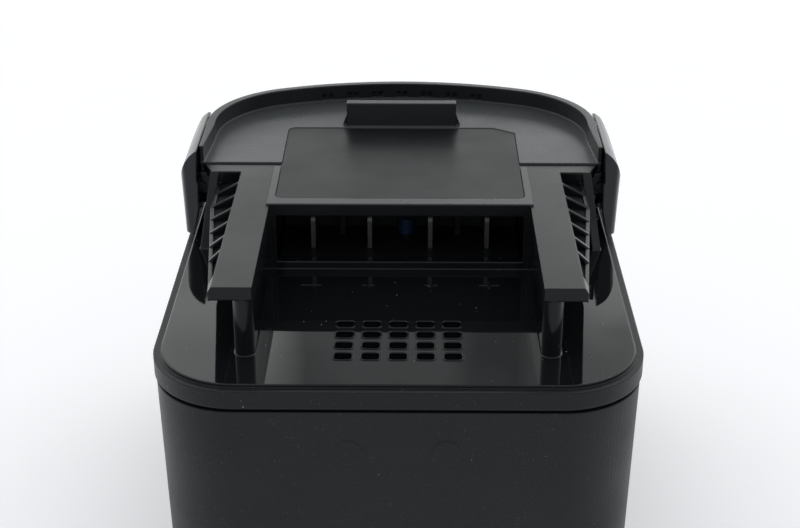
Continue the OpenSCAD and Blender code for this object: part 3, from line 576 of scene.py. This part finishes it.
def grow(name, group, sizes, material):
    """A plain smooth mesh made by a geometry tree from sizes given by input name."""
    made = solid(name, [], [], material)
    maker = made.modifiers.new(group.name, "NODES")
    maker.node_group = group
    for item in group.interface.items_tree:
        if item.in_out == "INPUT":
            maker[item.identifier] = sizes[item.name]
    baked(made)
    made.data.shade_smooth()
    return made


beads, entry = node_tree(
    "vent_beads", ("Columns", "Int"), ("Rows", "Int"), ("Across", "Float"), ("Along", "Float"),
    ("Width", "Float"), ("Length", "Float"), ("Corner", "Float"), ("Bead", "Float"), ("Place", "Vector"),
)
grid = beads.nodes.new("GeometryNodeMeshGrid")
outline = beads.nodes.new("GeometryNodeCurvePrimitiveQuadrilateral")
fillet = beads.nodes.new("GeometryNodeFilletCurve")
fillet.mode = "POLY"
fillet.inputs["Count"].default_value = CORNER_STEPS
section = beads.nodes.new("GeometryNodeCurvePrimitiveCircle")
section.inputs["Resolution"].default_value = ROUND_SIDES
swept = beads.nodes.new("GeometryNodeCurveToMesh")
repeat = beads.nodes.new("GeometryNodeInstanceOnPoints")
placed = beads.nodes.new("GeometryNodeTransform")
joined = beads.nodes.new("GeometryNodeRealizeInstances")
painted = beads.nodes.new("GeometryNodeSetMaterial")
painted.inputs["Material"].default_value = gloss
for size, node, socket in (
    ("Across", grid, "Size X"), ("Along", grid, "Size Y"), ("Columns", grid, "Vertices X"),
    ("Rows", grid, "Vertices Y"), ("Width", outline, "Width"), ("Length", outline, "Height"),
    ("Corner", fillet, "Radius"), ("Bead", section, "Radius"), ("Place", placed, "Translation"),
):
    beads.links.new(entry.outputs[size], node.inputs[socket])
chain(
    beads, (outline, fillet, "Curve"), (fillet, swept, "Curve"), (section, swept, "Profile Curve"),
    (grid, repeat, "Points"), (swept, repeat, "Instance"), (repeat, placed, "Geometry"),
    (placed, joined, "Geometry"), (joined, painted, "Geometry"),
    (painted, beads.nodes.new("NodeGroupOutput"), "Geometry"),
)
rims = grow("vent_rims", beads, {
    "Columns": VENTS[0], "Rows": VENTS[1], "Across": VENT_PITCH[0] * (VENTS[0] - 1),
    "Along": VENT_PITCH[1] * (VENTS[1] - 1), "Width": VENT_SIZE[0], "Length": VENT_SIZE[1],
    "Corner": VENT_CORNER, "Bead": BEAD, "Place": (0, VENT_MIDDLE, DECK),
}, gloss)
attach(rims, "pack")

points, faces = [], []
for x, width, length in MARK_BARS:
    base = len(points)
    for z in (DECK - MARK_RISE, DECK + MARK_RISE):
        for dx, dy in ((-0.5, -0.5), (0.5, -0.5), (0.5, 0.5), (-0.5, 0.5)):
            points.append((x + dx * width, MARK_Y + dy * length, z))
    faces += [tuple(base + i for i in (0, 3, 2, 1)), tuple(base + i for i in (4, 5, 6, 7))]
    faces += [tuple(base + i for i in (k, (k + 1) % 4, (k + 1) % 4 + 4, k + 4)) for k in range(4)]
marks = solid("deck_marks", points, faces, charcoal)
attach(marks, "pack")

# Label
# A satin grey film lies in its shallow recess on the rear plate. It is left plain.
FILM = (0.008, 0.0084, 0.0092, 1)
FILM_PALE = (0.012, 0.0125, 0.0135, 1)

film = moulding(
    "label_film", (FILM, FILM_PALE), lumps=2600, wear=120, rough=(0.3, 0.4),
    grain=5200, depth=0.000006, specular=0.18,
)
dress(film, "label_plate")

# Wing pins and springs
# Blackened steel pins carry the wings, and a coil of spring wire under each pushes it out.
OXIDE = (0.012, 0.012, 0.013, 1)
OXIDE_PALE = (0.024, 0.024, 0.025, 1)
WIRE = (0.42, 0.42, 0.44, 1)
WIRE_DULL = (0.26, 0.26, 0.28, 1)
WIRE_RADIUS = 0.00035
SPRING_TURNS = 6
TURN_STEPS = 24

oxide = drawn_metal(
    "black_oxide", (OXIDE, OXIDE_PALE), lines=3500, rough=(0.35, 0.5), depth=0.000006,
    way=(1, 0.1, 1), metallic=0,
)
dress(oxide, "left_wing_pin", "right_wing_pin")
wire = drawn_metal("spring_wire", (WIRE_DULL, WIRE), lines=2600, rough=(0.25, 0.38), depth=0.000004)

coil, entry = node_tree(
    "wing_coil", ("Turns", "Float"), ("Radius", "Float"), ("Length", "Float"), ("Wire", "Float"),
    ("Turned", "Rotation"), ("Place", "Vector"),
)
helix = coil.nodes.new("GeometryNodeCurveSpiral")
helix.inputs["Resolution"].default_value = TURN_STEPS
section = coil.nodes.new("GeometryNodeCurvePrimitiveCircle")
section.inputs["Resolution"].default_value = ROUND_SIDES
swept = coil.nodes.new("GeometryNodeCurveToMesh")
swept.inputs["Fill Caps"].default_value = True
placed = coil.nodes.new("GeometryNodeTransform")
joined = coil.nodes.new("GeometryNodeRealizeInstances")
painted = coil.nodes.new("GeometryNodeSetMaterial")
painted.inputs["Material"].default_value = wire
for size, node, socket in (
    ("Turns", helix, "Rotations"), ("Radius", helix, "Start Radius"), ("Radius", helix, "End Radius"),
    ("Length", helix, "Height"), ("Wire", section, "Radius"), ("Turned", placed, "Rotation"),
    ("Place", placed, "Translation"),
):
    coil.links.new(entry.outputs[size], node.inputs[socket])
chain(
    coil, (helix, swept, "Curve"), (section, swept, "Profile Curve"), (swept, placed, "Geometry"),
    (placed, joined, "Geometry"), (joined, painted, "Geometry"),
    (painted, coil.nodes.new("NodeGroupOutput"), "Geometry"),
)
for side, name in ((-1, "left"), (1, "right")):
    low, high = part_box(f"{name}_wing_spring")
    seat = min(abs(low[0]), abs(high[0]))
    spring = grow(f"{name}_wing_coil", coil, {
        "Turns": SPRING_TURNS, "Radius": (high[2] - low[2]) / 2 - WIRE_RADIUS,
        "Length": high[0] - low[0] - 2 * WIRE_RADIUS, "Wire": WIRE_RADIUS,
        "Turned": (0, side * math.pi / 2, 0),
        "Place": (side * (seat + WIRE_RADIUS), (low[1] + high[1]) / 2, (low[2] + high[2]) / 2),
    }, wire)
    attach(spring, "pack")
    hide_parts(f"{name}_wing_spring")
    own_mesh(spring)

# Release wings
# The two latches are moulded in the same black as the cover and hinge on their pins. The ridge and
# the front edge of each are rounded for the thumb, and use has dulled them a little.
RUBBED = 150
RUBBED_SPAN = (0.4, 0.8)
WORN_ROUGH = (0.09, 0.24)
WING_SINK = 110
WING_SINK_DEPTH = 0.00003
RIDGE_DROP = 0.0024
RIDGE_DRAFT = 0.0009
BEVEL_RUN = 0.0030
RIDGE_ROUND = 0.0062
FRONT_LEAN = 0.0033
FRONT_ROUND = 0.0020
ROUND_STEPS = 12
TRIM_CLEAR = 0.00002
TRIM_REACH = 0.02
WELD = 1e-6
FLAT = math.radians(0.5)
CREASE = math.radians(28)


def rounded_corner(corner, before, after, radius):
    """An arc a hair outside the corner of an outline, and the ways from it to the points beside."""
    corner = Vector(corner)
    down, up = (Vector(before) - corner).normalized(), (Vector(after) - corner).normalized()
    half = down.angle(up) / 2
    middle = (down + up).normalized()
    centre = corner + middle * (radius - TRIM_CLEAR) / math.sin(half)
    spokes = [way * radius / math.tan(half) - middle * radius / math.sin(half) for way in (down, up)]
    first, last = (math.atan2(spoke.y, spoke.x) for spoke in spokes)
    turn = math.remainder(last - first, 2 * math.pi) / ROUND_STEPS
    angles = [first + turn * step for step in range(ROUND_STEPS + 1)]
    arc = [centre + Vector((math.cos(angle), math.sin(angle))) * radius for angle in angles]
    return arc, down, up


def weld(mesh, flat=False):
    """Joins the loose corners of a mesh, turns its faces outwards and may join flat faces."""
    shape = bmesh.new()
    shape.from_mesh(mesh)
    bmesh.ops.remove_doubles(shape, verts=shape.verts, dist=WELD)
    if flat:
        bmesh.ops.dissolve_limit(shape, angle_limit=FLAT, verts=shape.verts, edges=shape.edges)
    bmesh.ops.recalc_face_normals(shape, faces=shape.faces)
    shape.to_mesh(mesh)
    shape.free()


def between(name, loops):
    """A closed block between two loops of points."""
    count = len(loops[0])
    faces = [tuple(range(count)), tuple(range(count, 2 * count))]
    faces += [(i, (i + 1) % count, (i + 1) % count + count, i + count) for i in range(count)]
    block = solid(name, loops[0] + loops[1], faces, worn)
    weld(block.data)
    return block


worn, tree, shader, coords = new_finish("thumbed_black")
rubbed = noise(tree, coords, RUBBED, **PATCHY)
paint(
    tree, shader, tones(tree, rubbed, GLOSS, CHARCOAL_PALE, RUBBED_SPAN),
    spread(tree, rubbed, *WORN_ROUGH),
)
relief(
    tree, shader, (noise(tree, coords, WING_SINK, 1), WING_SINK_DEPTH),
    normal=soft_edges(tree, EDGE_SOFT),
)

for side, name in ((-1, "left"), (1, "right")):
    wing = f"{name}_release_wing"
    low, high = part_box(wing)
    ridge_x = max(abs(low[0]), abs(high[0]))
    ridge_z = high[2] - RIDGE_DROP
    foot_x = ridge_x - RIDGE_DRAFT
    arc, down, up = rounded_corner(
        (ridge_x, ridge_z), (foot_x, low[2]), (ridge_x - BEVEL_RUN, high[2]), RIDGE_ROUND
    )
    below, above = arc[0] + down * TRIM_REACH, arc[-1] + up * TRIM_REACH
    outline = [below, *arc, above, (0, above.y), (0, below.y)]
    ends = (low[1] - TRIM_REACH, high[1] + TRIM_REACH)
    ridge = between("ridge_trim", [[(side * x, y, z) for x, z in outline] for y in ends])
    loops = []
    for z in (low[2] - TRIM_REACH, high[2] + TRIM_REACH):
        x = foot_x + RIDGE_DRAFT * (z - low[2]) / (ridge_z - low[2])
        y = low[1] + FRONT_LEAN * (z - low[2]) / (high[2] - low[2])
        arc, _, _ = rounded_corner((x, y), (x - TRIM_REACH, y), (x, y + TRIM_REACH), FRONT_ROUND)
        outline = [(0, arc[0].y), *arc, (arc[-1].x, ends[1]), (0, ends[1])]
        loops.append([(side * across, deep, z) for across, deep in outline])
    front = between("front_trim", loops)

    shell = bpy.data.objects.new(f"{name}_wing_shell", nodes[wing].data.copy())
    bpy.context.scene.collection.objects.link(shell)
    weld(shell.data)
    for block in (ridge, front):
        trim = shell.modifiers.new(block.name, "BOOLEAN")
        trim.operation = "INTERSECT"
        trim.solver = "EXACT"
        trim.object = block
    baked(shell)
    for block in (ridge, front):
        bpy.data.objects.remove(block)
    weld(shell.data, flat=True)
    shell.data.materials.clear()
    shell.data.materials.append(worn)
    shell.data.shade_smooth()
    shell.data.set_sharp_from_angle(angle=CREASE)
    shell.modifiers.new("even", "WEIGHTED_NORMAL").keep_sharp = True
    baked(shell)
    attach(shell, f"{name}_wing")
    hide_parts(wing)

# Floor, light and camera
# A white sweep in a soft white studio that is brightest behind the pack, with a dim gap between
# its two rear panels. The sweep's colour turns grey in front as painted shade where the camera
# stands, and the camera looks down over the deck.
FLOOR_HALF = 4
FLOOR_Z = -0.0002
FLOOR = (0.925, 0.9, 0.902, 1)
# Painted shade: the grey of the floor in front of the pack.
FLOOR_PAINTED_SHADE = (0.55, 0.565, 0.58, 1)
FLOOR_SHADE_SPAN = (-0.14, -0.04)
FLOOR_LIFT = 0.2
SKY_FRONT = (0.86, 0.93, 1, 1)
SKY_BACK = (0.97, 1, 0.995, 1)
BACK_SPAN = (-0.25, 0.5)
FRONT_GLOW = 0.75
BACK_GLOW = 1.42
GAP_ABOVE = (0.40, 0.455)
GAP_SIDE = (0.07, 0.1)
GAP_LOSS = 0.95
CLOUDS = 9
CLOUD_DETAIL = 2
CLOUD_GLOW = (0.62, 1.3)
CLOUD_SPAN = (0.38, 0.62)
LENS = 68.6
SENSOR = 36
NEAREST = 0.01
EYE = (0.0022, -0.2549, 0.1752)
EYE_TILT = math.radians(64)
EYE_TURN = math.radians(0.5)


def seen(tree):
    """One for rays from the camera, from gloss and through clear pieces, and none for light."""
    path = tree.nodes.new("ShaderNodeLightPath")
    total = path.outputs["Is Camera Ray"]
    for ray in ("Is Glossy Ray", "Is Transmission Ray"):
        total = combine(tree, "MAXIMUM", total, path.outputs[ray])
    return total


pale, tree, shader, coords = new_finish("floor_sweep")
# Painted shade: the floor's colour runs from grey in front to white behind.
unshaded_share = spread(tree, level(tree, coords, "Y"), 0, 1, *FLOOR_SHADE_SPAN)
tone = tones(tree, unshaded_share, FLOOR_PAINTED_SHADE, FLOOR, (0, 1))
tree.links.new(tone, shader.inputs["Base Color"])
tree.links.new(tone, shader.inputs["Emission Color"])
tree.links.new(spread(tree, seen(tree), 0, FLOOR_LIFT, 0, 1), shader.inputs["Emission Strength"])
shader.inputs["Roughness"].default_value = 1
shader.inputs["Specular IOR Level"].default_value = 0
corners = [(x * FLOOR_HALF, y * FLOOR_HALF, FLOOR_Z) for x, y in ((-1, -1), (1, -1), (1, 1), (-1, 1))]
floor = solid("floor", corners, [(0, 1, 2, 3)], pale)
floor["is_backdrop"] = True

studio = bpy.data.worlds.new("studio")
studio.use_nodes = True
tree = studio.node_tree
coords = tree.nodes.new("ShaderNodeTexCoord").outputs["Generated"]
back = spread(tree, level(tree, coords, "Y"), 0, 1, *BACK_SPAN)
gap = combine(tree, "MULTIPLY", spread(tree, level(tree, coords), 0, 1, *GAP_ABOVE), back)
gap = combine(tree, "MULTIPLY", gap, spread(tree, along(tree, coords, "X"), 1, 0, *GAP_SIDE))
glow = spread(tree, back, FRONT_GLOW, BACK_GLOW, 0, 1)
glow = combine(tree, "SUBTRACT", glow, combine(tree, "MULTIPLY", gap, GAP_LOSS))
clouds = spread(tree, noise(tree, coords, CLOUDS, CLOUD_DETAIL), *CLOUD_GLOW, *CLOUD_SPAN)
sky = tree.nodes["Background"]
tree.links.new(tones(tree, back, SKY_FRONT, SKY_BACK, (0, 1)), sky.inputs["Color"])
tree.links.new(combine(tree, "MULTIPLY", glow, clouds), sky.inputs["Strength"])
bpy.context.scene.world = studio

lens = bpy.data.cameras.new("camera")
lens.lens = LENS
lens.sensor_width = SENSOR
lens.clip_start = NEAREST
camera = bpy.data.objects.new("camera", lens)
camera.location = EYE
camera.rotation_euler = (EYE_TILT, 0, EYE_TURN)
bpy.context.scene.collection.objects.link(camera)
bpy.context.scene.camera = camera
bpy.context.scene.view_settings.view_transform = "Standard"

# Size of the dressed pack
low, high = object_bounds()
